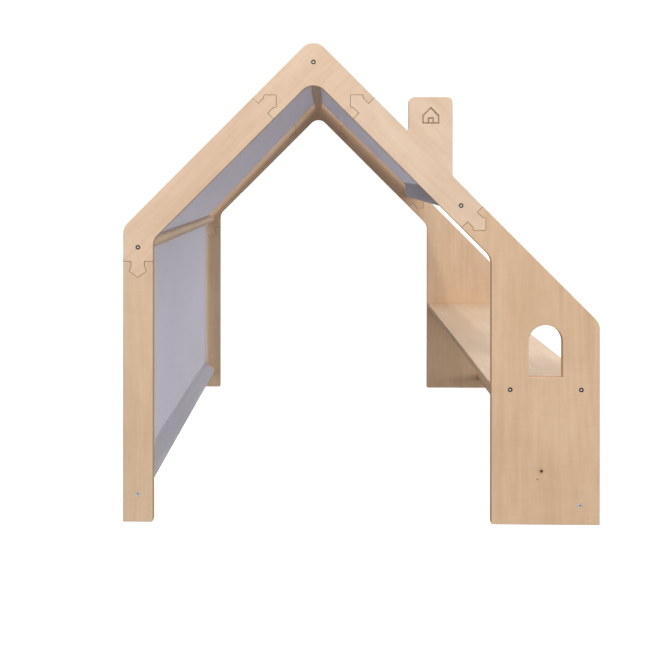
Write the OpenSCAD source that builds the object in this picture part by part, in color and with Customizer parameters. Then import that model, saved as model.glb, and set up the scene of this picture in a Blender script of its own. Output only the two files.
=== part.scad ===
// Children's playhouse: two birch plywood gable frames, each made of five
// boards locked together by arrow-shaped tongues, tied by five round rails
// and a desk board, with a cloth cover stretched round four of the rails.
// X runs across the front, Y from front to back, Z up. The origin is on the
// floor at the middle of the house.

/* [House] */
// Overall width across both side walls
house_w = 1230; // [1020:5:1480]
// Overall depth from front face to back face
house_d = 1140; // [800:5:1400]
// Height at which the roof meets the left side
left_wall_h = 763; // [640:1:920]
// Height at which the roof meets the right side
right_wall_h = 519; // [440:1:620]
// Pitch of both roof slopes, in degrees
roof_pitch = 45; // [42:1:48]

/* [Boards] */
// Plywood thickness of the gable boards
ply = 18; // [15:0.5:22]
// Width of the left posts and of the rafters
member_w = 78; // [65:1:94]
// Width of the wide side panels on the right
panel_w = 278; // [235:1:334]
// Radius of the large rounded corners of the gables
corner_r = 40; // [30:1:48]
// Radius of the inner bottom corners of the feet
foot_r = 4; // [2:0.5:8]

/* [Arrow joints] */
// Gap all round a tongue in its socket
joint_gap = 0.25; // [0.15:0.05:0.5]
// Width of a tongue's neck
neck_w = 34.6; // [30:0.2:36]
// Width of a tongue across its shoulders
head_w = 45; // [40:0.5:48]
// Length of a rafter tongue from its root to its tip
rafter_tip = 48.7; // [44:0.1:56]
// Length of a post tongue from its root to its tip
post_tip = 42; // [38:0.5:46]
// Distance along the slope from the ridge to the ridge joints
ridge_joint = 223; // [200:1:250]
// Distance along the slope from a side panel's inner corner up to its joint
panel_joint = 109; // [95:1:130]
// Distance from the left roof corner down to the post joint
post_joint = 88; // [80:1:105]

/* [Chimney] */
// Width of the chimney
chimney_w = 113; // [95:1:135]
// Rise of the chimney's left side above the roof slope
chimney_rise = 90; // [74:1:108]
// Distance of the chimney's middle from the middle of its rafter
chimney_shift = 5; // [-8:1:8]
// Radius of the chimney's top corners
chimney_r = 15; // [8:1:20]
// Depth of the engraved picture on the chimney
engrave_deep = 0.6; // [0.4:0.1:1]

/* [Window] */
// Width of the arched window
window_w = 88; // [70:1:106]
// Height of the window from its sill to the top of its arch
window_h = 134; // [110:1:150]
// Height of the window sill above the desk top
sill_above_desk = 23; // [15:1:35]

/* [Desk] */
// Height of the desk top above the floor
desk_h = 356; // [300:1:410]
// Distance of the desk board's long edges inside the edges of the side panels
desk_inset = 3.5; // [0:0.5:10]
// Thickness of the desk board
desk_t = 18; // [15:0.5:22]
// Distance of the desk's bolts from the edges of the side panels
desk_bolt_in = 48; // [38:1:60]

/* [Rails] */
// Diameter of the round rails
rail_d = 30; // [26:1:36]
// Depth of the ridge rail's axis below the ridge line
ridge_rail_drop = 66; // [60:1:75]
// Depth of the left eave rail's axis below the left roof corner
eave_rail_drop = 52; // [46:1:58]
// Distance of the roof end rail's axis up the slope from the panel joint
end_rail_up = 41; // [35:1:50]
// Height of the left foot rail's axis
left_foot_rail_h = 72; // [60:1:86]
// Height of the right foot rail's axis
right_foot_rail_h = 50; // [42:1:60]
// Distance of the right foot rail's axis from the right side
right_foot_rail_in = 51; // [43:1:61]

/* [Cover] */
// Thickness of the cover's cloth
cloth_t = 1.2; // [0.8:0.1:2]
// Gap between the cloth and the rails
cloth_gap = 0.3; // [0.2:0.1:0.6]
// Gap between the cover's edges and the gables
cover_gap = 20; // [12:1:28]
// Slope of the seams that close the two sleeves, away from the cloth, in degrees
seam_slope = 50; // [40:1:65]

/* [Fasteners] */
// Thread diameter of the bolts
bolt_d = 6; // [5:1:8]
// Overall length of a bolt
bolt_len = 60; // [50:1:72]
// Diameter of a bolt's countersunk head
head_d = 12; // [11:0.5:15]
// Depth of a bolt's head below the face of its board
head_recess = 0.8; // [0.4:0.1:1.5]
// Width across flats of a bolt's hexagon socket
hex_af = 4; // [3:0.5:5]
// Gap all round a bolt in the hole of its board
hole_gap = 0.4; // [0.2:0.1:0.6]
// Diameter of the threaded inserts and of the barrel nuts
nut_d = 10; // [9:0.5:12]
// Length of a threaded insert
insert_len = 20; // [15:1:25]

/* [Hidden] */

$fn = 48;
arc_steps = 12;        // straight steps in each rounded corner of an outline
thread_gap = 0.05;     // radial gap that stands in for the thread
fit_gap = 0.05;        // radial gap round an insert or a barrel nut
hole_spare = 2;        // how much deeper a bolt hole is than the bolt
hex_deep = 2.5;        // depth of the hexagon socket
notch_r = 3.5;         // cutter radius left in the chimney's notch
chimney_foot_r = 20;   // radius where the chimney's right side meets the roof
tip_r = 3;             // radius of the tongues' tips and shoulders
neck_r = 2.5;          // radius where a neck widens into its shoulders
neck_len = 19.5;       // straight neck of a rafter tongue
post_neck_len = 13;    // straight neck of a post tongue
post_shoulder = 25.5;  // distance from a post tongue's root to its shoulders
stroke_w = 1.8;        // width of the engraved lines
nut_seat = 7;          // distance from a bolt's end back to its barrel nut's axis
nut_skin = 4;          // wood left above a barrel nut

xl = -house_w / 2;
xr = house_w / 2;
slope = tan(roof_pitch);
ridge_x = xl + (house_w - (left_wall_h - right_wall_h) / slope) / 2;
ridge_h = left_wall_h + (ridge_x - xl) * slope;
inner_ridge_h = ridge_h - member_w / cos(roof_pitch);
post_in_x = xl + member_w;
panel_in_x = xr - panel_w;
panel_mid_x = xr - panel_w / 2;

function roof_z(x) = ridge_h - abs(x - ridge_x) * slope;
function inner_roof_z(x) = roof_z(x) - member_w / cos(roof_pitch);

// A point u down a roof slope from the ridge and v in from its outer edge.
// side is -1 on the left slope and 1 on the right one.
function on_slope(side, u, v) = [
    ridge_x + side * (u * cos(roof_pitch) - v * sin(roof_pitch)),
    ridge_h - u * sin(roof_pitch) - v * cos(roof_pitch)
];

// Joints: the middle of a tongue's root and the way the tongue points
panel_corner_u = (panel_in_x - ridge_x) / cos(roof_pitch) + member_w * slope;
panel_joint_u = panel_corner_u - panel_joint;
at_post = [[xl + member_w / 2, left_wall_h - post_joint], -90];
at_ridge_left = [on_slope(-1, ridge_joint, member_w / 2), roof_pitch];
at_ridge_right = [on_slope(1, ridge_joint, member_w / 2), 180 - roof_pitch];
at_panel = [on_slope(1, panel_joint_u, member_w / 2), -roof_pitch];

chimney_mid_x = ridge_x + (ridge_joint + panel_joint_u) / 2 * cos(roof_pitch) + chimney_shift;
chimney_x0 = chimney_mid_x - chimney_w / 2;
chimney_x1 = chimney_mid_x + chimney_w / 2;
chimney_top = roof_z(chimney_x0) + chimney_rise;

// Axes of the rails and of the desk bolts, as [x, z]
ridge_axis = [ridge_x, ridge_h - ridge_rail_drop];
eave_axis = [xl + member_w / 2, left_wall_h - eave_rail_drop];
roof_end_axis = on_slope(1, panel_joint_u - end_rail_up, member_w / 2);
left_foot_axis = [xl + member_w / 2, left_foot_rail_h];
right_foot_axis = [xr - right_foot_rail_in, right_foot_rail_h];
desk_mid_h = desk_h - desk_t / 2;
desk_w = panel_w - 2 * desk_inset;
desk_axes = [[panel_in_x + desk_bolt_in, desk_mid_h], [xr - desk_bolt_in, desk_mid_h]];
rail_axes = [ridge_axis, eave_axis, roof_end_axis, left_foot_axis, right_foot_axis];
window_sill = desk_h + sill_above_desk;

rail_len = house_d - 2 * ply;
bolt_reach = head_recess + bolt_len - ply;   // how far a bolt stands into a rail or the desk
nut_in = bolt_reach - nut_seat;              // distance from the desk's end to its barrel nuts
head_h = (head_d - bolt_d) / 2;              // a head's cone is at 45 degrees

// Outlines: each point is [x, z, radius], and a radius of 0 leaves a sharp corner
function unit(v) = v / norm(v);
function plain(p) = [p[0], p[1]];
function bend(centre, r, from, to, steps = arc_steps) =
    [for (k = [0 : steps]) let (a = from + (to - from) * k / steps) centre + r * [cos(a), sin(a)]];
function corner_arc(before, p, after, r) =
    let (
        a = unit(before - p),
        b = unit(after - p),
        half = acos(a * b) / 2,
        centre = p + unit(a + b) * r / sin(half),
        from = p + a * r / tan(half) - centre,
        to = p + b * r / tan(half) - centre,
        start = atan2(from[1], from[0]),
        turn = (atan2(to[1], to[0]) - start + 540) % 360 - 180
    )
    bend(centre, r, start, start + turn);
function rounded(points) =
    let (n = len(points))
    [for (i = [0 : n - 1]) each
        let (before = plain(points[(i + n - 1) % n]), p = plain(points[i]), after = plain(points[(i + 1) % n]))
        points[i][2] > 0 ? corner_arc(before, p, after, points[i][2]) : [p]];

// The whole gable in one outline, before it is cut into boards
module gable(chimney) {
    stack = [
        [chimney_x0, roof_z(chimney_x0), notch_r],
        [chimney_x0, chimney_top, chimney_r],
        [chimney_x1, chimney_top, chimney_r],
        [chimney_x1, roof_z(chimney_x1), chimney_foot_r]
    ];
    polygon(rounded([
        [xl, 0, 0],
        [xl, left_wall_h, corner_r],
        [ridge_x, ridge_h, corner_r],
        each (chimney ? stack : []),
        [xr, right_wall_h, corner_r],
        [xr, 0, 0],
        [panel_in_x, 0, foot_r],
        [panel_in_x, inner_roof_z(panel_in_x), corner_r],
        [ridge_x, inner_ridge_h, corner_r],
        [post_in_x, inner_roof_z(post_in_x), corner_r],
        [post_in_x, 0, foot_r]
    ]));
}

// An end of the line across a joint, past the board's edge. k is 1 on the
// right of the tongue and -1 on its left, and along moves it towards the tip.
function joint_end(joint, k, along = 0) =
    joint[0] + k * member_w * [sin(joint[1]), -cos(joint[1])] + along * [cos(joint[1]), sin(joint[1])];

// An arrow-shaped tongue at a joint, or its socket when grow is the gap
module tongue(joint, neck, shoulder, tip, grow = 0) {
    half_neck = neck_w / 2 + grow;
    half_head = head_w / 2 + grow;
    translate(joint[0]) rotate(joint[1] - 90) polygon(rounded([
        [-half_neck, -1, 0],
        [-half_neck, neck - grow, neck_r],
        [-half_head, shoulder, tip_r],
        [0, tip + grow * sqrt(2), tip_r],
        [half_head, shoulder, tip_r],
        [half_neck, neck - grow, neck_r],
        [half_neck, -1, 0]
    ]));
}
module rafter_tongue(joint, grow = 0) {
    tongue(joint, neck_len, rafter_tip - head_w / 2, rafter_tip, grow);
}
module post_tongue(grow = 0) {
    tongue(at_post, post_neck_len, post_shoulder, post_tip, grow);
}

// The five board shapes of a gable
module post_shape() {
    difference() {
        intersection() {
            gable(false);
            polygon([
                joint_end(at_post, 1, joint_gap), joint_end(at_post, -1, joint_gap),
                [post_in_x + member_w, -1], [xl - member_w, -1]
            ]);
        }
        post_tongue(joint_gap);
    }
}
module left_rafter_shape() {
    intersection() {
        gable(false);
        polygon([
            joint_end(at_post, -1), joint_end(at_post, 1),
            [xl - member_w, left_wall_h + member_w],
            joint_end(at_ridge_left, -1), joint_end(at_ridge_left, 1)
        ]);
    }
    post_tongue();
    rafter_tongue(at_ridge_left);
}
module apex_shape() {
    difference() {
        intersection() {
            gable(false);
            polygon([
                joint_end(at_ridge_left, 1, joint_gap), joint_end(at_ridge_left, -1, joint_gap),
                [ridge_x, ridge_h + member_w],
                joint_end(at_ridge_right, 1, joint_gap), joint_end(at_ridge_right, -1, joint_gap)
            ]);
        }
        rafter_tongue(at_ridge_left, joint_gap);
        rafter_tongue(at_ridge_right, joint_gap);
    }
}
module right_rafter_shape(chimney) {
    intersection() {
        gable(chimney);
        polygon([
            joint_end(at_ridge_right, -1), joint_end(at_ridge_right, 1),
            [chimney_x0, chimney_top + member_w], [chimney_x1 + member_w, chimney_top + member_w],
            joint_end(at_panel, -1), joint_end(at_panel, 1)
        ]);
    }
    rafter_tongue(at_ridge_right);
    rafter_tongue(at_panel);
}
module panel_shape() {
    difference() {
        intersection() {
            gable(false);
            polygon([
                joint_end(at_panel, 1, joint_gap), joint_end(at_panel, -1, joint_gap),
                [xr + member_w, right_wall_h + member_w], [xr + member_w, -1],
                [panel_in_x - member_w / 2, -1]
            ]);
        }
        rafter_tongue(at_panel, joint_gap);
    }
}

// The arched window opening
module window_shape() {
    spring = window_sill + window_h - window_w / 2;
    translate([panel_mid_x, spring]) circle(d = window_w, $fn = 96);
    translate([panel_mid_x - window_w / 2, window_sill]) square([window_w, spring - window_sill]);
}

// A round-ended engraved line
module stroke(a, b) {
    translate(a) rotate(atan2(b[1] - a[1], b[0] - a[0])) {
        translate([0, -stroke_w / 2]) square([norm(b - a), stroke_w]);
        circle(d = stroke_w, $fn = 24);
    }
    translate(b) circle(d = stroke_w, $fn = 24);
}
// The picture of a small house, drawn round its own middle
module picture() {
    wall = [20, 15];    // half the width and the height of the walls below the middle
    eave = 4;
    peak = 24;
    door = [6, 13];
    outline = [[-wall[0], -wall[1]], [-wall[0], eave], [0, peak], [wall[0], eave], [wall[0], -wall[1]]];
    for (i = [0 : 4]) stroke(outline[i], outline[(i + 1) % 5]);
    for (k = [-1, 1]) stroke([k * door[0], -wall[1]], [k * door[0], door[1] - wall[1]]);
    stroke([-door[0], door[1] - wall[1]], [door[0], door[1] - wall[1]]);
}

// Places a flat shape as a board of the front gable (side -1) or the back one (side 1)
module board(side) {
    translate([0, side < 0 ? ply - house_d / 2 : house_d / 2, 0])
        rotate([90, 0, 0]) linear_extrude(ply) children();
}
// Stands its children at an axis with z = 0 on the gable's outer face and Z
// pointing out of the house. side is -1 at the front and 1 at the back.
module at_face(side, axis) {
    mirror([0, side < 0 ? 0 : 1, 0])
        translate([axis[0], -house_d / 2, axis[1]]) rotate([90, 0, 0]) children();
}

// A bolt and what is drilled for it, along Z, with the board's face at z = 0
module bolt() {
    difference() {
        translate([0, 0, -head_recess]) {
            translate([0, 0, -head_h]) cylinder(h = head_h, d1 = bolt_d, d2 = head_d);
            translate([0, 0, -bolt_len]) cylinder(h = bolt_len - head_h, d = bolt_d);
        }
        translate([0, 0, -head_recess - hex_deep])
            cylinder(h = hex_deep + 1, d = hex_af / cos(30), $fn = 6);
    }
}
module bolt_hole() {
    hole = bolt_d + 2 * hole_gap;
    head = head_d + 2 * hole_gap;
    translate([0, 0, -ply - 1]) cylinder(h = ply + 2, d = hole);
    translate([0, 0, -head_recess - (head - hole) / 2])
        cylinder(h = (head - hole) / 2, d1 = hole, d2 = head);
    translate([0, 0, -head_recess]) cylinder(h = head_recess + 1, d = head);
}
module drilled(side, axes) {
    difference() {
        children();
        for (axis = axes) at_face(side, axis) bolt_hole();
    }
}

module insert() {
    translate([0, 0, -ply - insert_len]) difference() {
        cylinder(h = insert_len, d = nut_d);
        translate([0, 0, -1]) cylinder(h = insert_len + 2, d = bolt_d + 2 * thread_gap);
    }
}
module insert_bore() {
    depth = bolt_reach + hole_spare;
    translate([0, 0, -ply - insert_len]) cylinder(h = insert_len + 1, d = nut_d + 2 * fit_gap);
    translate([0, 0, -ply - depth]) cylinder(h = depth, d = bolt_d + 2 * hole_gap);
}

// Gable boards
module left_post(side) {
    color("burlywood") drilled(side, [left_foot_axis]) board(side) post_shape();
}
module left_rafter(side) {
    color("bisque") drilled(side, [eave_axis]) board(side) left_rafter_shape();
}
module apex(side) {
    color("bisque") drilled(side, [ridge_axis]) board(side) apex_shape();
}
module right_rafter(side, chimney) {
    color("bisque") difference() {
        drilled(side, [roof_end_axis]) board(side) right_rafter_shape(chimney);
        if (chimney) {
            picture_h = chimney_top - chimney_w / 2 + 4;
            at_face(side, [chimney_mid_x, picture_h])
                translate([0, 0, -engrave_deep]) linear_extrude(engrave_deep + 1) picture();
        }
    }
}
module window_panel() {
    color("burlywood") drilled(-1, concat(desk_axes, [right_foot_axis]))
        board(-1) difference() {
            panel_shape();
            window_shape();
        }
}
module side_panel() {
    color("burlywood") drilled(1, concat(desk_axes, [right_foot_axis])) board(1) panel_shape();
}

// Round rails, bored at both ends for an insert and a bolt
module rail(axis) {
    color("tan") difference() {
        translate([axis[0], rail_len / 2, axis[1]]) rotate([90, 0, 0]) cylinder(h = rail_len, d = rail_d);
        for (side = [-1, 1]) at_face(side, axis) insert_bore();
    }
}

// Fasteners of one gable
module bolts(side) {
    color("dimgray") for (axis = concat(rail_axes, desk_axes)) at_face(side, axis) bolt();
}
module inserts(side) {
    color("goldenrod") for (axis = rail_axes) at_face(side, axis) insert();
}
module barrel_nuts(side) {
    color("silver") difference() {
        at_barrel_nuts(side) barrel_nut(nut_d);
        for (axis = desk_axes) at_face(side, axis) desk_bore(bolt_d + 2 * thread_gap);
    }
}

// Desk board, bored along its length at both ends for the bolts and from
// below for the barrel nuts
module at_barrel_nuts(side) {
    for (axis = desk_axes) translate([axis[0], side * (rail_len / 2 - nut_in), desk_h - desk_t]) children();
}
module desk_bore(bore_d) {
    depth = bolt_reach + hole_spare;
    translate([0, 0, -ply - depth]) cylinder(h = depth + 1, d = bore_d);
}
module barrel_nut(d, below = 0) {
    translate([0, 0, -below]) cylinder(h = desk_t - nut_skin + below, d = d);
}
module desk_board() {
    color("bisque") difference() {
        translate([panel_mid_x - desk_w / 2, -rail_len / 2, desk_h - desk_t]) cube([desk_w, rail_len, desk_t]);
        for (side = [-1, 1]) {
            for (axis = desk_axes) at_face(side, axis) desk_bore(bolt_d + 2 * hole_gap);
            at_barrel_nuts(side) barrel_nut(nut_d + 2 * fit_gap, 1);
        }
    }
}

// Cloth cover: a sleeve on the left foot rail, up outside the eave rail, over
// the ridge rail, and down to a sleeve on the roof end rail. Each sleeve goes
// round its rail and comes back to the cloth at a seam.
cloth_stops = [left_foot_axis, eave_axis, ridge_axis, roof_end_axis];
cloth_in = rail_d / 2 + cloth_gap;
cloth_out = cloth_in + cloth_t;
// which way is out of the house on each straight stretch of cloth, in degrees
cloth_side = [for (i = [0 : 2])
    let (along = cloth_stops[i + 1] - cloth_stops[i])
    90 + atan2(along[1], along[0])];

function backwards(points) = [for (i = [len(points) - 1 : -1 : 0]) points[i]];
function over_rails(r) = [for (i = [1, 2]) each bend(cloth_stops[i], r, cloth_side[i - 1], cloth_side[i])];

// A sleeve's outline from the cloth's outer side round the rail and back. turn
// is 1 on the left and -1 on the right, and the last point is on the seam.
function sleeve(centre, side, turn, r) =
    let (
        cloth = turn * 90 + side + 180,
        seam = (r - cloth_in * cos(180 - seam_slope)) / sin(seam_slope)
    )
    concat(
        bend(centre, r, side, side + turn * (180 + seam_slope), 2 * arc_steps),
        [centre + cloth_in * [cos(side), sin(side)] + seam * [cos(cloth), sin(cloth)]]
    );

module cloth_cover() {
    left = [cloth_stops[0], cloth_side[0], 1];
    right = [cloth_stops[3], cloth_side[2], -1];
    cover_len = rail_len - 2 * cover_gap;
    color("lightsteelblue") translate([0, cover_len / 2, 0]) rotate([90, 0, 0])
        linear_extrude(cover_len) difference() {
            polygon(concat(
                backwards(sleeve(left[0], left[1], left[2], cloth_out)),
                over_rails(cloth_out),
                sleeve(right[0], right[1], right[2], cloth_out),
                backwards(over_rails(cloth_in))
            ));
            for (end = [left, right]) polygon(sleeve(end[0], end[1], end[2], cloth_in));
        }
}

left_post(-1);  // front_left_post
left_rafter(-1);  // front_left_rafter
apex(-1);  // front_apex
right_rafter(-1, true);  // front_chimney_rafter
window_panel();  // front_window_panel
left_post(1);  // back_left_post
left_rafter(1);  // back_left_rafter
apex(1);  // back_apex
right_rafter(1, false);  // back_right_rafter
side_panel();  // back_side_panel
rail(ridge_axis);  // ridge_rail
rail(eave_axis);  // eave_rail
rail(roof_end_axis);  // roof_end_rail
rail(left_foot_axis);  // left_foot_rail
rail(right_foot_axis);  // right_foot_rail
desk_board();
cloth_cover();
bolts(-1);  // front_bolts
inserts(-1);  // front_inserts
barrel_nuts(-1);  // front_barrel_nuts
bolts(1);  // back_bolts
inserts(1);  // back_inserts
barrel_nuts(1);  // back_barrel_nuts
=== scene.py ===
# Children's playhouse: two birch plywood gable frames tied by five round rails
# and a desk board, with a grey cloth cover stretched over four of the rails.
# Metres, X across the front, Y from front to back, Z up, floor at z = 0.
import math

import bmesh
import bpy
from mathutils import Matrix, Vector
from mathutils.bvhtree import BVHTree


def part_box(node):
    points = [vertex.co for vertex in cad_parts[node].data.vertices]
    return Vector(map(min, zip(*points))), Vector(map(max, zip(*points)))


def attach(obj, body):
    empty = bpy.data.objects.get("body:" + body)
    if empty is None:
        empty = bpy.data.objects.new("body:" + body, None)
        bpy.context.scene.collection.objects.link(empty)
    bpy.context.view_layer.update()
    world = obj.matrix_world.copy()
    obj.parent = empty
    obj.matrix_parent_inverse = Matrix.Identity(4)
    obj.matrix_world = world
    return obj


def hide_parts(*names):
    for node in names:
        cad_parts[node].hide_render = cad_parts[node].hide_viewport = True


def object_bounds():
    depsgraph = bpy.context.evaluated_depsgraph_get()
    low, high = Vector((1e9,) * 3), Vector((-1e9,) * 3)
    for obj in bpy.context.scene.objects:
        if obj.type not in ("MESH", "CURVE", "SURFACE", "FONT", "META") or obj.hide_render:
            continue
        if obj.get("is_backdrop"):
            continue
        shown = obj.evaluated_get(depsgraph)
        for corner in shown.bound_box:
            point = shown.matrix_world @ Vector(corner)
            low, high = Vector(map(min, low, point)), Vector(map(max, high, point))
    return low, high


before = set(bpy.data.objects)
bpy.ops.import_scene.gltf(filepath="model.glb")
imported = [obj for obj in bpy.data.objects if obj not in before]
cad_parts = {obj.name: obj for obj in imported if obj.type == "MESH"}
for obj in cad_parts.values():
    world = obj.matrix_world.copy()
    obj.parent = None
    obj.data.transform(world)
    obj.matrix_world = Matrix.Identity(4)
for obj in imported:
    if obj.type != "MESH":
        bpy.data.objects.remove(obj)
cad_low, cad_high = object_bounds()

# ---------------------------------------------------------------------------
# Studio. A white floor and white surroundings light the house softly from all
# round, with a low softbox in front, a small lamp high up on the left and a
# softbox on the right. The camera stands a little left of the house's middle.
# ---------------------------------------------------------------------------
studio = bpy.context.scene

studio.view_settings.view_transform = "Standard"
studio.view_settings.look = "None"

eye = bpy.data.cameras.new("camera")
eye.sensor_width = 36
eye.lens = 38.04
eye.shift_x = 0.00749
eye.shift_y = -0.2294
camera = bpy.data.objects.new("camera", eye)
camera.location = (-0.08854, cad_low.y - 1.75726, 0.90209)
camera.rotation_euler = [math.radians(angle) for angle in (89.9272, -0.0558, 0.7222)]
studio.collection.objects.link(camera)
studio.camera = camera

surroundings = bpy.data.worlds.new("surroundings")
surroundings.use_nodes = True
sky = surroundings.node_tree.nodes["Background"]
sky.inputs["Color"].default_value = (1.0, 1.0, 1.0, 1.0)
sky.inputs["Strength"].default_value = 1.06
studio.world = surroundings


def hang_lamp(name, place, aim, size, power):
    """A flat lamp at a place, turned to face the aim. Its size is in metres and its power in watts."""
    lamp = bpy.data.lights.new(name, "AREA")
    lamp.shape = "RECTANGLE"
    lamp.size, lamp.size_y = size
    lamp.energy = power
    hung = bpy.data.objects.new(name, lamp)
    hung.location = place
    hung.rotation_euler = (Vector(aim) - Vector(place)).to_track_quat("-Z", "Y").to_euler()
    studio.collection.objects.link(hung)


hang_lamp("front_softbox", (0.1, -5.4, 0.9), (0, 0, 0.7), (2.2, 1.4), 37)
hang_lamp("high_key", (-1.1, -3.4, 4.7), (0, 0, 0.6), (0.4, 0.4), 58)
hang_lamp("side_softbox", (5.5, -2.2, 1.0), (-0.5, 0, 0.5), (2.0, 1.2), 44)

floor_reach = 30
floor_drop = 0.0002
floor_shape = bmesh.new()
bmesh.ops.create_grid(floor_shape, x_segments=1, y_segments=1, size=floor_reach)
bmesh.ops.translate(floor_shape, verts=floor_shape.verts, vec=(0, 0, cad_low.z - floor_drop))
floor_mesh = bpy.data.meshes.new("floor")
floor_shape.to_mesh(floor_mesh)
floor_shape.free()
floor = bpy.data.objects.new("floor", floor_mesh)
studio.collection.objects.link(floor)
# the white paper glows for the camera only, and throws a little light back on the house
paper = bpy.data.materials.new("white_paper")
paper.use_nodes = True
paper_skin = paper.node_tree.nodes["Principled BSDF"]
paper_skin.inputs["Roughness"].default_value = 0.9
paper_skin.inputs["Specular IOR Level"].default_value = 0.0
paper_skin.inputs["Emission Color"].default_value = (1, 1, 1, 1)
seen_by = paper.node_tree.nodes.new("ShaderNodeLightPath")
for socket, unseen, seen in (("Emission Strength", 0.0, 0.88), ("Base Color", 0.25, 0.35)):
    level = paper.node_tree.nodes.new("ShaderNodeMapRange")
    level.inputs["To Min"].default_value = unseen
    level.inputs["To Max"].default_value = seen
    paper.node_tree.links.new(seen_by.outputs["Is Camera Ray"], level.inputs["Value"])
    paper.node_tree.links.new(level.outputs["Result"], paper_skin.inputs[socket])
floor_mesh.materials.append(paper)
floor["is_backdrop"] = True

# ---------------------------------------------------------------------------
# Gable boards. Each gable is five lacquered boards of 18 mm birch plywood, cut
# on a router and locked together by arrow-shaped tongues. Outlines are rounded
# over, joint edges only just broken, and the small house is burnt in by laser.
# ---------------------------------------------------------------------------
plies = 13
bump_depth = 0.0002


class Nodes:
    """Places nodes in a tree, each with its settings, inputs and links in one call."""

    def __init__(self, tree):
        self.tree = tree

    def add(self, kind, settings=None, **inputs):
        node = self.tree.nodes.new("ShaderNode" + kind)
        for name, value in (settings or {}).items():
            setattr(node, name, value)
        for name, value in inputs.items():
            self.put(node, name.replace("_", " "), value)
        return node

    def put(self, node, name, value):
        """Sets or links an input, which is given by its name, or by its number as i0, i1 and so on."""
        socket = node.inputs[int(name[1:])] if name[1:].isdigit() else node.inputs[name]
        if isinstance(value, bpy.types.NodeSocket):
            self.tree.links.new(value, socket)
        elif isinstance(value, bpy.types.Node):
            self.tree.links.new(value.outputs[0], socket)
        else:
            socket.default_value = value

    def math(self, operation, a, b=0.0, c=0.0, clamp=False):
        return self.add("Math", {"operation": operation, "use_clamp": clamp}, i0=a, i1=b, i2=c).outputs[0]

    def stretch(self, vector, scale):
        return self.add("VectorMath", {"operation": "MULTIPLY"}, i0=vector, i1=scale).outputs[0]

    def noise(self, vector, detail=2.0, rough=0.5, scale=1.0):
        node = self.add(
            "TexNoise", {"noise_dimensions": "3D"}, Vector=vector, Scale=scale, Detail=detail,
            Roughness=rough,
        )
        return node.outputs["Fac"]

    def ramp(self, value, low, high, to_low=0.0, to_high=1.0, smooth=True):
        kind = "SMOOTHSTEP" if smooth else "LINEAR"
        node = self.add(
            "MapRange", {"interpolation_type": kind}, i0=value, i1=low, i2=high, i3=to_low, i4=to_high,
        )
        return node.outputs[0]

    def mix(self, share, a, b, blend="MIX"):
        node = self.add("Mix", {"data_type": "RGBA", "blend_type": blend}, i0=share)
        self.put(node, "i6", a)
        self.put(node, "i7", b)
        return node.outputs[2]


def shader_group(name, ins, outs):
    """A node group with named inputs and outputs, and its Nodes helper."""
    tree = bpy.data.node_groups.new(name, "ShaderNodeTree")
    for label, kind, value in ins:
        socket = tree.interface.new_socket(label, in_out="INPUT", socket_type="NodeSocket" + kind)
        if value is not None:
            socket.default_value = value
    for label, kind in outs:
        tree.interface.new_socket(label, in_out="OUTPUT", socket_type="NodeSocket" + kind)
    nodes = Nodes(tree)
    return nodes, tree.nodes.new("NodeGroupInput"), tree.nodes.new("NodeGroupOutput")


# Birch in metres, with the grain along Z. Depth runs from 0 to 1 through a board and picks the ply,
# and every second ply has its grain crossed.
wood, given, made = shader_group(
    "birch_ply",
    [("Place", "Vector", None), ("Depth", "Float", 0.04), ("Tint", "Color", (1, 1, 1, 1)),
     ("Figure", "Float", 1.0), ("Knot", "Vector", (0, 0, 9))],
    [("Colour", "Color"), ("Roughness", "Float"), ("Height", "Float")],
)
layer = wood.math("FLOOR", wood.math("MULTIPLY", given.outputs["Depth"], plies))
crossed = wood.math("MODULO", layer, 2.0)
parts = wood.add("SeparateXYZ", Vector=given.outputs["Place"])
turned = wood.add("CombineXYZ", X=parts.outputs["Z"], Y=parts.outputs["Y"], Z=parts.outputs["X"])
lie = wood.add("Mix", {"data_type": "VECTOR"}, i0=crossed)
wood.put(lie, "i4", given.outputs["Place"])
wood.put(lie, "i5", turned)
shifted = wood.add("VectorMath", {"operation": "ADD"}, i0=lie.outputs[1])
step = wood.add("CombineXYZ", X=wood.math("MULTIPLY", layer, 1.37), Z=wood.math("MULTIPLY", layer, 2.71))
wood.put(shifted, "i1", step)
grain = shifted.outputs[0]

broad = wood.noise(wood.stretch(grain, (15, 15, 4.5)), detail=6, rough=0.66)
rings_from = wood.noise(wood.stretch(grain, (4.5, 4.5, 0.9)), detail=1.5, rough=0.4)
rings = wood.math("SINE", wood.math("MULTIPLY", rings_from, 85.0))
rings_fade = wood.ramp(wood.noise(wood.stretch(grain, (5, 5, 3)), detail=1), 0.35, 0.65)
streaks = wood.noise(wood.stretch(grain, (120, 120, 3.5)), detail=4, rough=0.62)
fibres = wood.noise(wood.stretch(grain, (1300, 1300, 14)), detail=2, rough=0.6)
pores = wood.ramp(wood.noise(wood.stretch(grain, (2400, 2400, 110)), detail=1), 0.66, 0.74)
ripple = wood.noise(wood.stretch(grain, (16, 16, 95)), detail=2, rough=0.5)

shade = wood.math("MULTIPLY", wood.math("MULTIPLY", rings, rings_fade), 0.030)
for pattern, strength in ((broad, 0.52), (streaks, 0.26), (fibres, 0.14), (ripple, 0.10)):
    shade = wood.math("MULTIPLY_ADD", wood.math("SUBTRACT", pattern, 0.5), strength, shade)
shade = wood.math("MULTIPLY", shade, given.outputs["Figure"])
shade = wood.math("MULTIPLY_ADD", pores, -0.05, shade)
dark_wood = (0.80, 0.725, 0.63, 1)
light_wood = (1.20, 1.275, 1.37, 1)
pale = wood.mix(wood.math("ADD", shade, 0.5, clamp=True), dark_wood, light_wood)
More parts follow.
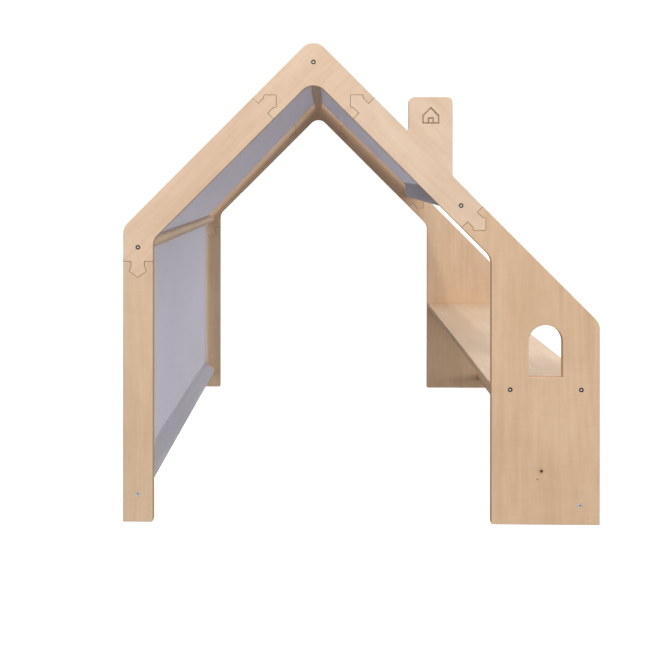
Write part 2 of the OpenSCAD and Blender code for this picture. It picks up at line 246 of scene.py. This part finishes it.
# the cross plies and the glue between plies show on every cut edge
inner_ply = (0.97, 0.93, 0.88, 1)
crossed_ply = (0.80, 0.71, 0.61, 1)
glue_line = (0.42, 0.32, 0.24, 1)
glue_share = 0.05
face_share = 0.04
past_first = wood.math("GREATER_THAN", given.outputs["Depth"], 1 / plies)
before_last = wood.math("LESS_THAN", given.outputs["Depth"], 1 - 1 / plies)
inner = wood.math("MULTIPLY", past_first, before_last)
cut = wood.mix(inner, pale, inner_ply, "MULTIPLY")
cut = wood.mix(crossed, cut, crossed_ply, "MULTIPLY")
ply_run = wood.math("FRACT", wood.math("MULTIPLY", given.outputs["Depth"], plies))
from_glue = wood.math("MINIMUM", ply_run, wood.math("SUBTRACT", 1.0, ply_run))
glue = wood.math("LESS_THAN", from_glue, glue_share)
on_edge = wood.math("MULTIPLY", glue, wood.math("GREATER_THAN", given.outputs["Depth"], face_share))
on_edge = wood.math("MULTIPLY", on_edge, wood.math("LESS_THAN", given.outputs["Depth"], 1 - face_share))
cut = wood.mix(wood.math("MULTIPLY", on_edge, 0.6), cut, glue_line, "MULTIPLY")
# a pin knot with its halo and a smaller knot below it, each fading out between two radii
knot_brown = (0.13, 0.06, 0.035, 1)
small_knot_off = (-0.010, 0, -0.021)
from_knot = wood.add("VectorMath", {"operation": "DISTANCE"}, i0=given.outputs["Place"])
wood.put(from_knot, "i1", given.outputs["Knot"])
knot_core = wood.ramp(from_knot.outputs["Value"], 0.0034, 0.0045, 1.0, 0.0)
knot_halo = wood.ramp(from_knot.outputs["Value"], 0.003, 0.014, 0.16, 0.0)
small_knot = wood.add("VectorMath", {"operation": "ADD"}, i0=given.outputs["Knot"], i1=small_knot_off)
from_small = wood.add("VectorMath", {"operation": "DISTANCE"}, i0=given.outputs["Place"], i1=small_knot)
small_core = wood.ramp(from_small.outputs["Value"], 0.0018, 0.0028, 0.7, 0.0)
knots = wood.math("MAXIMUM", small_core, wood.math("MAXIMUM", knot_core, knot_halo))
cut = wood.mix(knots, cut, knot_brown, "MULTIPLY")
# a few faint specks
speck_brown = (0.45, 0.33, 0.25, 1)
specks = wood.add("TexVoronoi", {"feature": "F1"}, Vector=given.outputs["Place"], Scale=7.0)
speck = wood.ramp(specks.outputs["Distance"], 0.004, 0.014, 1.0, 0.0)
chosen = wood.add("SeparateColor", Color=specks.outputs["Color"]).outputs[0]
speck = wood.math("MULTIPLY", speck, wood.math("GREATER_THAN", chosen, 0.72))
cut = wood.mix(wood.math("MULTIPLY", speck, 0.5), cut, speck_brown, "MULTIPLY")
wood.put(made, "Colour", wood.mix(1.0, cut, given.outputs["Tint"], "MULTIPLY"))
rough_fibre = wood.math("MULTIPLY_ADD", fibres, 0.16, 0.36)
wood.put(made, "Roughness", wood.math("MULTIPLY_ADD", crossed, 0.16, rough_fibre))
relief = wood.math("MULTIPLY_ADD", pores, -0.6, wood.math("MULTIPLY", fibres, 0.5))
relief = wood.math("MULTIPLY_ADD", streaks, 0.3, relief)
wood.put(made, "Height", wood.math("MULTIPLY_ADD", on_edge, -0.5, relief))


def lacquered_birch(name, tint, turn, shift=(0, 0, 0), through=None, knot=None, figure=1.6):
    """A birch finish. turn and shift lay the grain, through is (axis letter, low, high) of the plies'
    stack, knot is the place of the knots, and figure is the strength of the grain."""
    material = bpy.data.materials.new(name)
    material.use_nodes = True
    nodes = Nodes(material.node_tree)
    skin = material.node_tree.nodes["Principled BSDF"]
    spot = nodes.add("TexCoord").outputs["Object"]
    laid = nodes.add("Mapping", {"vector_type": "POINT"}, Vector=spot, Rotation=turn, Location=shift)
    birch = nodes.add("Group", {"node_tree": wood.tree}, Place=laid, Tint=(*tint, 1), Figure=figure)
    if through:
        axis, low, high = through
        along = nodes.add("SeparateXYZ", Vector=spot).outputs[axis]
        nodes.put(birch, "Depth", nodes.ramp(along, low, high, 0.01, 0.99, smooth=False))
    if knot:
        at_knot = nodes.add("Mapping", {"vector_type": "POINT"}, Vector=knot, Rotation=turn, Location=shift)
        nodes.put(birch, "Knot", at_knot)
    nodes.put(skin, "Base Color", birch.outputs["Colour"])
    nodes.put(skin, "Roughness", birch.outputs["Roughness"])
    bump = nodes.add("Bump", None, Strength=0.25, Distance=bump_depth, Height=birch.outputs["Height"])
    nodes.put(skin, "Normal", bump)
    skin.inputs["Specular IOR Level"].default_value = 0.35
    return material


same_point = 2e-6
same_plane = math.radians(0.4)
curved_below = math.radians(30)
cut_above = math.radians(50)
on_plane = 1e-5


def corner_angle(edge):
    """The angle between an edge's two faces, or 0 for an open edge."""
    return edge.calc_face_angle(0) if len(edge.link_faces) == 2 else 0.0


def merged(node):
    """A CAD node's triangles as a closed mesh with whole flat faces."""
    shape = bmesh.new()
    shape.from_mesh(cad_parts[node].data)
    bmesh.ops.remove_doubles(shape, verts=shape.verts, dist=same_point)
    bmesh.ops.dissolve_limit(shape, angle_limit=same_plane, verts=shape.verts, edges=shape.edges)
    for edge in shape.edges:
        edge.smooth = len(edge.link_faces) == 2 and corner_angle(edge) < curved_below
    return shape


def solid_middles(node):
    """The middle of each solid of a CAD node."""
    shape = merged(node)
    left = set(shape.verts)
    middles = []
    while left:
        group = [left.pop()]
        for vert in group:
            near = [edge.other_vert(vert) for edge in vert.link_edges]
            fresh = [v for v in near if v in left]
            left.difference_update(fresh)
            group.extend(fresh)
        corners = [vert.co.copy() for vert in group]
        low = Vector(map(min, *corners))
        high = Vector(map(max, *corners))
        middles.append((low + high) / 2)
    shape.free()
    return middles


def piece(name, shape, *materials):
    """A new object from a bmesh, smooth-shaded, on the house's one body."""
    mesh = bpy.data.meshes.new(name)
    shape.to_mesh(mesh)
    shape.free()
    for material in materials:
        mesh.materials.append(material)
    mesh.shade_smooth()
    new = bpy.data.objects.new(name, mesh)
    studio.collection.objects.link(new)
    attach(new, "root")
    return new


def ease(new, width, segments=3, layer="bevel_weight_edge", finish=-1):
    """Rounds over the edges that the layer weights, with the finish in that slot, or the face's own."""
    bevel = new.modifiers.new(layer, "BEVEL")
    bevel.limit_method = "WEIGHT"
    bevel.edge_weight = layer
    bevel.width = width
    bevel.segments = segments
    bevel.profile = 0.5
    bevel.material = finish
    bevel.use_clamp_overlap = False
    bevel.loop_slide = False
    return new


def level_faces(new):
    """Keeps the flat faces flat where they meet the rounded edges."""
    level = new.modifiers.new("level_faces", "WEIGHTED_NORMAL")
    level.mode = "FACE_AREA"
    level.weight = 100
    level.keep_sharp = True
    return new


round_over = 0.0020
broken_edge = 0.0006
bolt_clear = 0.009
joint_reach = 0.0012
bolt_spots = [(spot.x, spot.z) for spot in solid_middles("front_bolts")]


def board_around(node, others):
    """A gable board: its outline's edges are weighted for rounding, its joint edges are only just broken,
    and the walls of its joints take the second material, router-browned wood darkened further with painted
    shade of the narrow joint gap."""
    shape = merged(node)
    walls = [BVHTree.FromBMesh(shape_of[other]) for other in others]
    weight = shape.edges.layers.float.new("bevel_weight_edge")
    joint_weight = shape.edges.layers.float.new("joint_edge")
    low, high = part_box(node)
    in_joint = set()
    for face in shape.faces:
        if abs(face.normal.y) > 0.5:
            continue
        start = face.calc_center_median() - face.normal * 0.0001
        if any(wall.ray_cast(start, face.normal, joint_reach)[0] for wall in walls):
            in_joint.add(face)
            face.material_index = 1
    for edge in shape.edges:
        if corner_angle(edge) < cut_above:
            continue
        middle = (edge.verts[0].co + edge.verts[1].co) / 2
        if any(math.hypot(middle.x - x, middle.z - z) < bolt_clear for x, z in bolt_spots):
            continue
        if min(abs(vert.co.y - face) for vert in edge.verts for face in (low.y, high.y)) > on_plane:
            continue
        joint = any(face in in_joint for face in edge.link_faces)
        edge[joint_weight if joint else weight] = 1.0
        edge.smooth = True
    return shape


# how the grain lies in degrees, where in the log the board is cut, its tint, and its finish's name
front_boards = {
    "front_left_post": (90, (0.31, 0, 0.2), (0.655, 0.462, 0.302), "birch_plywood"),
    "front_left_rafter": (45, (0.62, 0, 1.1), (0.705, 0.503, 0.350), "pale_birch_plywood"),
    "front_apex": (45, (1.9, 0, 0.4), (0.73, 0.53, 0.372), "birch_plywood"),
    "front_chimney_rafter": (135, (2.3, 0, 0.9), (0.725, 0.536, 0.388), "pale_birch_plywood"),
    "front_window_panel": (90, (1.3, 0, 2.6), (0.664, 0.456, 0.290), "birch_plywood"),
}
back_boards_with_painted_shade_and_light = {
    "back_left_post": (90, (3.31, 0, 0.7), (0.655, 0.462, 0.302), "birch_plywood"),
    # the back rafters and back apex are tinted darker than the front boards: painted shade for the cloth
    # roof over them
    "back_left_rafter": (45, (2.62, 0, 3.1), (0.65, 0.44, 0.285), "pale_birch_plywood"),
    "back_apex": (45, (3.9, 0, 1.4), (0.635, 0.42, 0.268), "birch_plywood"),
    "back_right_rafter": (135, (4.3, 0, 1.9), (0.635, 0.42, 0.268), "pale_birch_plywood"),
    # the back side panel is tinted paler than the front window panel: painted light for the open side above
    # the desk
    "back_side_panel": (90, (4.7, 0, 2.2), (0.715, 0.495, 0.32), "birch_plywood"),
}
# the joint walls are darkened: router-browned end grain plus painted shade of the narrow gap between boards
routed_and_shaded_share = (0.42, 0.33, 0.26)
burnt_tint = (0.27, 0.17, 0.105)
burnt_depth = 0.0008
burnt_above = 1.0
knot_in = 0.150
knot_up = 0.138

for boards in (front_boards, back_boards_with_painted_shade_and_light):
    shape_of = {node: merged(node) for node in boards}
    for node, (grain_angle, shift, tint, finish) in boards.items():
        low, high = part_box(node)
        turn = (0, math.radians(grain_angle - 90), 0)
        through = ("Y", low.y, high.y)
        knot = (high.x - knot_in, low.y, low.z + knot_up) if node == "front_window_panel" else None
        birch = lacquered_birch(node + "_birch", tint, turn, shift, through, knot)
        shape = board_around(node, [other for other in boards if other != node])
        routed_and_shaded_tint = [share * part for share, part in zip(routed_and_shaded_share, tint)]
        materials = [birch, lacquered_birch(node + "_routed_and_shaded", routed_and_shaded_tint, turn, shift, through)]
        if node == "front_chimney_rafter":
            materials.append(lacquered_birch("burnt_birch", burnt_tint, turn, shift, through))
            for face in shape.faces:
                middle = face.calc_center_median()
                if on_plane < middle.y - low.y < burnt_depth and middle.z > burnt_above:
                    face.material_index = 2
        board = ease(piece(node + "_board", shape, *materials), round_over)
        level_faces(ease(board, broken_edge, 1, "joint_edge", 1))
        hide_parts(node)
    for shape in shape_of.values():
        shape.free()

# ---------------------------------------------------------------------------
# Rails. Five 30 mm rods of turned birch tie the two gables together, four in
# the roof and the left wall and one at the foot of the desk side. Their ends
# are cut square and butt against the boards.
# ---------------------------------------------------------------------------
# the rails' tint is the birch's own tone, raised as painted light that brightens them where the cloth and
# gables shade them
rail_tint_and_painted_light = (0.84, 0.61, 0.41)
grain_along = (math.radians(90), 0, 0)
rim_from = 0.0148
rail_nodes = ["ridge_rail", "eave_rail", "roof_end_rail", "left_foot_rail", "right_foot_rail"]
for number, node in enumerate(rail_nodes):
    shape = merged(node)
    weight = shape.edges.layers.float.new("bevel_weight_edge")
    low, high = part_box(node)
    middle = (low + high) / 2
    for edge in shape.edges:
        ends = [vert.co for vert in edge.verts]
        on_end = all(min(abs(co.y - low.y), abs(co.y - high.y)) < on_plane for co in ends)
        outer = all(math.hypot(co.x - middle.x, co.z - middle.z) > rim_from for co in ends)
        edge[weight] = 1.0 if on_end and outer else 0.0
    shift = (number * 1.7, number * 0.9, 0.3 * number)
    turned_birch = lacquered_birch(node + "_birch", rail_tint_and_painted_light, grain_along, shift, figure=1.5)
    rail = level_faces(ease(piece(node + "_rod", shape, turned_birch), broken_edge, 2))
    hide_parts(node)

# ---------------------------------------------------------------------------
# Desk. One 18 mm birch plywood board lies between the two side panels, with
# the grain along its length, and is bolted through the panels into barrel nuts.
# ---------------------------------------------------------------------------
desk_low, desk_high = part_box("desk_board")
desk_tint = (0.72, 0.53, 0.37)
long_edge = 0.1
shape = merged("desk_board")
weight = shape.edges.layers.float.new("bevel_weight_edge")
for edge in shape.edges:
    ends = [vert.co for vert in edge.verts]
    on_side = any(all(abs(co.x - x) < on_plane for co in ends) for x in (desk_low.x, desk_high.x))
    lengthwise = abs(ends[0].y - ends[1].y) > long_edge
    edge[weight] = 1.0 if on_side and lengthwise and corner_angle(edge) > cut_above else 0.0
through = ("Z", desk_low.z, desk_high.z)
desk_birch = lacquered_birch("desk_birch", desk_tint, grain_along, (0.4, 3.0, 0.8), through)
desk = level_faces(ease(piece("desk_top_board", shape, desk_birch), round_over))
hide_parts("desk_board")

# ---------------------------------------------------------------------------
# Cloth cover. One length of grey woven cloth goes tight round the outside of
# the eave and ridge rails, with a sleeve at each end round the left foot rail
# and the roof end rail. Hems and sleeves are sewn with a grey thread.
# ---------------------------------------------------------------------------
cloth_thick = 0.0010
hem_thick = 0.0019
hem_width = 0.018
sleeve_slope = math.radians(50)
flap = 0.016
rail_gap = 0.0003
lap = cloth_thick * 1.08
eased_over = 0.004


def rail_axis(node):
    """The middle of a rail, seen along it, and its radius."""
    low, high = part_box(node)
    return Vector(((low.x + high.x) / 2, (low.z + high.z) / 2)), (high.x - low.x) / 2


foot, rod_radius = rail_axis("left_foot_rail")
eave, ridge, roof_end = (rail_axis(node)[0] for node in ("eave_rail", "ridge_rail", "roof_end_rail"))
wrap = rod_radius + rail_gap + cloth_thick / 2
cloth_low, cloth_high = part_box("cloth_cover")
# how far past the rail's middle a sleeve's end meets the cloth it is sewn to
seam = (wrap - (wrap - lap) * math.cos(math.pi - sleeve_slope)) / math.sin(math.pi - sleeve_slope)


def direction(angle):
    return Vector((math.cos(angle), math.sin(angle)))


def heading(a, b):
    """Which way is out of the house from the straight cloth between two rails, as an angle."""
    run = b - a
    return math.atan2(run.y, run.x) + math.pi / 2


def round_rail(centre, start, end, step=math.radians(8)):
    """Points on the cloth round a rail."""
    count = max(2, round(abs(end - start) / step))
    angles = [start + (end - start) * k / count for k in range(count + 1)]
    return [centre + wrap * direction(angle) for angle in angles]


def sleeve_tail(centre, out, turn):
    """From the cloth's outside round the rail, back to the cloth, and on as a stitched flap."""
    points = round_rail(centre, out, out + turn * (math.pi + sleeve_slope))
    # straight off the rail, eased into the fold, and flat along the cloth
    away = direction(out - turn * math.pi / 2)
    touch = centre + direction(out) * (wrap - lap) + away * seam
    before = points[-1] + (touch - points[-1]) * 0.8
    after = touch + away * eased_over
    points += [points[-1] + (touch - points[-1]) * 0.4, before]
    points += [before.lerp(touch, 0.6).lerp(touch.lerp(after, 0.4), 0.5), after]
    points += [touch + away * flap * share for share in (0.6, 0.8, 1.0)]
    return points


free_steps = 24
last_steps = 20
out_wall, out_left, out_right = heading(foot, eave), heading(eave, ridge), heading(ridge, roof_end)
section = sleeve_tail(foot, out_wall, 1)[::-1]
for centre, before, after in ((eave, out_wall, out_left), (ridge, out_left, out_right)):
    start = section[-1]
    bend = round_rail(centre, before, after)
    section += [start.lerp(bend[0], k / free_steps) for k in range(1, free_steps)] + bend
start = section[-1]
tail = sleeve_tail(roof_end, out_right, -1)
section += [start.lerp(tail[0], k / last_steps) for k in range(1, last_steps)] + tail

run_at = [0.0]
for a, b in zip(section, section[1:]):
    run_at.append(run_at[-1] + (b - a).length)
cloth_length = run_at[-1]
half_cloth = (cloth_high.y - cloth_low.y) / 2
inside_hem = half_cloth - hem_width
# lines along the cloth: those of a hem, those between the hems, and the other hem's
near_rim = 0.004
sewn_in = 0.003
hem_step = 0.0006
middle_lines = 60
hem_lines = [-half_cloth, -half_cloth + near_rim, -inside_hem - sewn_in, -inside_hem - hem_step, -inside_hem]
across = hem_lines + [-inside_hem + 2 * inside_hem * k / middle_lines for k in range(1, middle_lines)]
across += [-y for y in reversed(hem_lines)]

sheet = bmesh.new()
bmesh.ops.create_grid(sheet, x_segments=len(section) - 1, y_segments=len(across) - 1, size=0.5)
sheet_uv = sheet.loops.layers.uv.new("cloth")
hem_part = sheet.verts.layers.deform.verify()
spots = {}
for vert in sheet.verts:
    along = round((vert.co.x + 0.5) * (len(section) - 1))
    over = round((vert.co.y + 0.5) * (len(across) - 1))
    spots[vert] = (run_at[along], across[over])
    vert.co = (section[along].x, across[over], section[along].y)
    vert[hem_part][0] = 1.0 if abs(across[over]) > inside_hem + hem_step / 2 else cloth_thick / hem_thick
for face in sheet.faces:
    for loop in face.loops:
        loop[sheet_uv].uv = spots[loop.vert]


def taut(start, end, s):
    """1 halfway along a free stretch of cloth, and 0 at its two rails and past them."""
    share = (s - start) / (end - start)
    return math.sin(math.pi * share) if 0 < share < 1 else 0.0


def side_of(rail, out):
    """How far along the cloth it lies on a rail in the direction out."""
    point = rail + wrap * direction(out)
    nearest = min(range(len(section)), key=lambda k: (section[k] - point).length)
    return run_at[nearest]


def ripples(s, y, k):
    """Slight waves over stretch k of the cloth, between -1 and 1."""
    return math.sin(y * 31 + k * 2.1) * 0.35 + math.sin(y * 13.7 + s * 5 + k) * 0.65


stretches = [
    (side_of(foot, out_wall), side_of(eave, out_wall)),
    (side_of(eave, out_left), side_of(ridge, out_left)),
    (side_of(ridge, out_right), side_of(roof_end, out_right)),
]
# between two rails the free edges are pulled in, and the middle gives a little
pulled_in = 0.0035
slack = 0.0007
ripple_height = 0.0008
sheet.normal_update()
for vert, (s, y) in spots.items():
    edge_share = abs(y) / half_cloth
    for k, (start, end) in enumerate(stretches):
        hollow = taut(start, end, s)
        if hollow:
            vert.co.y -= math.copysign(pulled_in * hollow * edge_share ** 3, y)
            give = slack * (1 - edge_share ** 4) + ripple_height * ripples(s, y, k)
            vert.co -= vert.normal * give * hollow

weave, given, made = shader_group(
    "plain_weave",
    [("Run", "Vector", None), ("Tint", "Color", (1, 1, 1, 1))],
    [("Colour", "Color"), ("Height", "Float")],
)
threads_per_metre = 1500.0
dark_thread = (0.86, 0.86, 0.86, 1)
light_thread = (1.14, 1.14, 1.14, 1)
parts = weave.add("SeparateXYZ", Vector=given.outputs["Run"])
warp = weave.math("SINE", weave.math("MULTIPLY", parts.outputs["Y"], threads_per_metre * math.pi))
weft = weave.math("SINE", weave.math("MULTIPLY", parts.outputs["X"], threads_per_metre * math.pi))
over_under = weave.math("MULTIPLY", warp, weft)
warp_slub = weave.noise(weave.stretch(given.outputs["Run"], (6, 900, 1)), detail=2)
weft_slub = weave.noise(weave.stretch(given.outputs["Run"], (900, 6, 1)), detail=2)
heather = weave.math("MULTIPLY_ADD", weave.math("SUBTRACT", warp_slub, 0.5), 0.5, 0.5)
heather = weave.math("MULTIPLY_ADD", weave.math("SUBTRACT", weft_slub, 0.5), 0.5, heather)
cloudy = weave.noise(weave.stretch(given.outputs["Run"], (5, 5, 1)), detail=3)
heather = weave.math("MULTIPLY_ADD", weave.math("SUBTRACT", cloudy, 0.5), 0.25, heather)
crossing = weave.math("MULTIPLY_ADD", weave.math("ABSOLUTE", over_under), 0.22, 0.89)
toned = weave.mix(heather, dark_thread, light_thread)
toned = weave.mix(1.0, toned, weave.add("CombineXYZ", X=crossing, Y=crossing, Z=crossing), "MULTIPLY")
weave.put(made, "Colour", weave.mix(1.0, toned, given.outputs["Tint"], "MULTIPLY"))
weave.put(made, "Height", weave.math("MULTIPLY_ADD", heather, 0.4, over_under))

cloth_tint = (0.515, 0.500, 0.590, 1)
grey_cloth = bpy.data.materials.new("grey_woven_cloth")
grey_cloth.use_nodes = True
nodes = Nodes(grey_cloth.node_tree)
skin = grey_cloth.node_tree.nodes["Principled BSDF"]
on_cloth = nodes.add("UVMap", {"uv_map": "cloth"})
woven = nodes.add("Group", {"node_tree": weave.tree}, Run=on_cloth, Tint=cloth_tint)
nodes.put(skin, "Base Color", woven.outputs["Colour"])
bump = nodes.add("Bump", None, Strength=0.25, Distance=bump_depth, Height=woven.outputs["Height"])
nodes.put(skin, "Normal", bump)
skin.inputs["Roughness"].default_value = 0.9
skin.inputs["Specular IOR Level"].default_value = 0.15
skin.inputs["Sheen Weight"].default_value = 0.15
skin.inputs["Sheen Roughness"].default_value = 0.5
# daylight outside shines through the thin cloth
skin.subsurface_method = "RANDOM_WALK"
skin.inputs["Subsurface Weight"].default_value = 1.0
skin.inputs["Subsurface Radius"].default_value = (1.0, 1.0, 1.0)
skin.inputs["Subsurface Scale"].default_value = 0.006

# a row of stitches is short lengths of thread on the cloth, and each row shows on both of its faces
thread_radius = 0.00024
stitch = 0.0027
stitch_pitch = 0.0038
seams = bmesh.new()


def sew(stitches, place, run, normal, lift):
    """One stitch, lying along run on the cloth's face."""
    lay = Matrix((normal, run.cross(normal), run)).transposed().to_4x4()
    lay.translation = place + normal * lift
    bmesh.ops.create_cone(
        stitches, cap_ends=True, segments=5, radius1=thread_radius, radius2=thread_radius, depth=stitch,
        matrix=lay,
    )


def sewn(stitches):
    """Adds a finished row of stitches to the rest."""
    row_mesh = bpy.data.meshes.new("row_of_stitches")
    stitches.to_mesh(row_mesh)
    stitches.free()
    seams.from_mesh(row_mesh)
    bpy.data.meshes.remove(row_mesh)


sheet.normal_update()
hem_start = flap + 0.004
for stitched_line in (-inside_hem - sewn_in, inside_hem + sewn_in):
    line = [vert for vert in sheet.verts if spots[vert][1] == stitched_line]
    line.sort(key=lambda vert: spots[vert][0])
    for face_out in (1, -1):
        stitches = bmesh.new()
        s = hem_start
        for a, b in zip(line, line[1:]):
            s_a, s_b = spots[a][0], spots[b][0]
            while s < min(s_b, cloth_length - hem_start):
                share = (s - s_a) / (s_b - s_a)
                run = (b.co - a.co).normalized()
                normal = a.normal.lerp(b.normal, share)
                normal = (normal - run * normal.dot(run)).normalized() * face_out
                sew(stitches, a.co.lerp(b.co, share), run, normal, hem_thick / 2)
                s += stitch_pitch
        sewn(stitches)
sleeve_rows = (0.0065, 0.0125)
from_rim = 0.005
more_stitches = int(2 * (half_cloth - from_rim) / stitch_pitch)
for rail, out, turn in ((foot, out_wall, 1), (roof_end, out_right, -1)):
    for from_seam in sleeve_rows:
        for face_out, depth in ((1, wrap), (-1, wrap - lap)):
            at = rail + direction(out) * depth + direction(out - turn * math.pi / 2) * (seam + from_seam)
            outward = direction(out) * face_out
            stitches = bmesh.new()
            sew(
                stitches, Vector((at.x, from_rim - half_cloth, at.y)), Vector((0, 1, 0)),
                Vector((outward.x, 0, outward.y)), cloth_thick / 2,
            )
            bmesh.ops.spin(
                stitches, geom=stitches.faces[:], cent=(0, 0, 0), axis=(0, 0, 1), dvec=(0, stitch_pitch, 0),
                angle=0, steps=more_stitches, use_duplicate=True,
            )
            sewn(stitches)

thread_dark = (0.40, 0.39, 0.44, 1)
thread_pale = (0.74, 0.73, 0.79, 1)
thread = bpy.data.materials.new("grey_thread")
thread.use_nodes = True
nodes = Nodes(thread.node_tree)
skin = thread.node_tree.nodes["Principled BSDF"]
twist = nodes.noise(nodes.stretch(nodes.add("TexCoord").outputs["Object"], (2600, 2600, 2600)), detail=1)
nodes.put(skin, "Base Color", nodes.mix(twist, thread_dark, thread_pale))
nodes.put(skin, "Normal", nodes.add("Bump", None, Strength=0.4, Distance=0.0001, Height=twist))
skin.inputs["Roughness"].default_value = 0.7
skin.inputs["Sheen Weight"].default_value = 0.2
stitching = piece("cloth_cover_stitching", seams, thread)

cover = piece("cloth_cover_sheet", sheet, grey_cloth)
cover.vertex_groups.new(name="hem")
thicken = cover.modifiers.new("cloth_thickness", "SOLIDIFY")
thicken.thickness = hem_thick
thicken.offset = 0
thicken.vertex_group = "hem"
thicken.use_even_offset = True
rim = cover.modifiers.new("soft_rim", "BEVEL")
rim.limit_method = "ANGLE"
rim.angle_limit = math.radians(60)
rim.width = 0.0004
rim.segments = 2
rim.profile = 0.5
rim.material = -1
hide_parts("cloth_cover")

# ---------------------------------------------------------------------------
# Fasteners. Countersunk steel bolts with hexagon sockets hold the rails and the
# desk to the gables. The two at the feet are bright, and the others are black.
# Their brass inserts and steel barrel nuts are inside the rails and the desk.
# ---------------------------------------------------------------------------


def metal(name, colour, rough_low, rough_high):
    """Plated or turned metal with fine tool marks."""
    material = bpy.data.materials.new(name)
    material.use_nodes = True
    nodes = Nodes(material.node_tree)
    skin = material.node_tree.nodes["Principled BSDF"]
    spot = nodes.add("TexCoord").outputs["Object"]
    marks = nodes.noise(nodes.stretch(spot, (1500, 300, 1500)), detail=3, rough=0.6)
    dull = [share * 0.75 for share in colour]
    lit = [share * 1.25 for share in colour]
    nodes.put(skin, "Base Color", nodes.mix(marks, (*dull, 1), (*lit, 1)))
    nodes.put(skin, "Roughness", nodes.ramp(marks, 0.3, 0.7, rough_low, rough_high))
    bump = nodes.add("Bump", None, Strength=0.3, Distance=0.0001, Height=marks)
    nodes.put(skin, "Normal", bump)
    skin.inputs["Metallic"].default_value = 1.0
    return material


black_steel = metal("black_steel", (0.075, 0.06, 0.055), 0.35, 0.55)
bright_steel = metal("bright_steel", (0.92, 0.92, 0.95), 0.42, 0.6)
brass = metal("turned_brass", (0.72, 0.50, 0.20), 0.22, 0.4)
nut_steel = metal("nut_steel", (0.55, 0.55, 0.57), 0.25, 0.45)
socket_radius = 0.0024
foot_below = 0.1
head_corner = math.radians(40)
head_edge = 0.00015
for node in ("front_bolts", "back_bolts"):
    shape = merged(node)
    weight = shape.edges.layers.float.new("bevel_weight_edge")
    for face in shape.faces:
        middle = face.calc_center_median()
        x, z = min(bolt_spots, key=lambda spot: math.hypot(middle.x - spot[0], middle.z - spot[1]))
        in_socket = all(math.hypot(vert.co.x - x, vert.co.z - z) < socket_radius for vert in face.verts)
        at_foot = middle.z < foot_below
        # each socket takes the other finish: painted shade in the bright foot bolts' sockets and a painted
        # highlight in the black bolts' sockets
        face.material_index = 1 if in_socket != at_foot else 0
    for edge in shape.edges:
        if corner_angle(edge) > head_corner:
            edge[weight] = 1.0
            edge.smooth = True
    bolts = level_faces(ease(piece(node + "_finished", shape, black_steel, bright_steel), head_edge, 2))
    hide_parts(node)
for gable in ("front", "back"):
    for kind, finish in (("inserts", brass), ("barrel_nuts", nut_steel)):
        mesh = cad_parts[gable + "_" + kind].data
        mesh.materials.clear()
        mesh.materials.append(finish)

low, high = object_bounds()
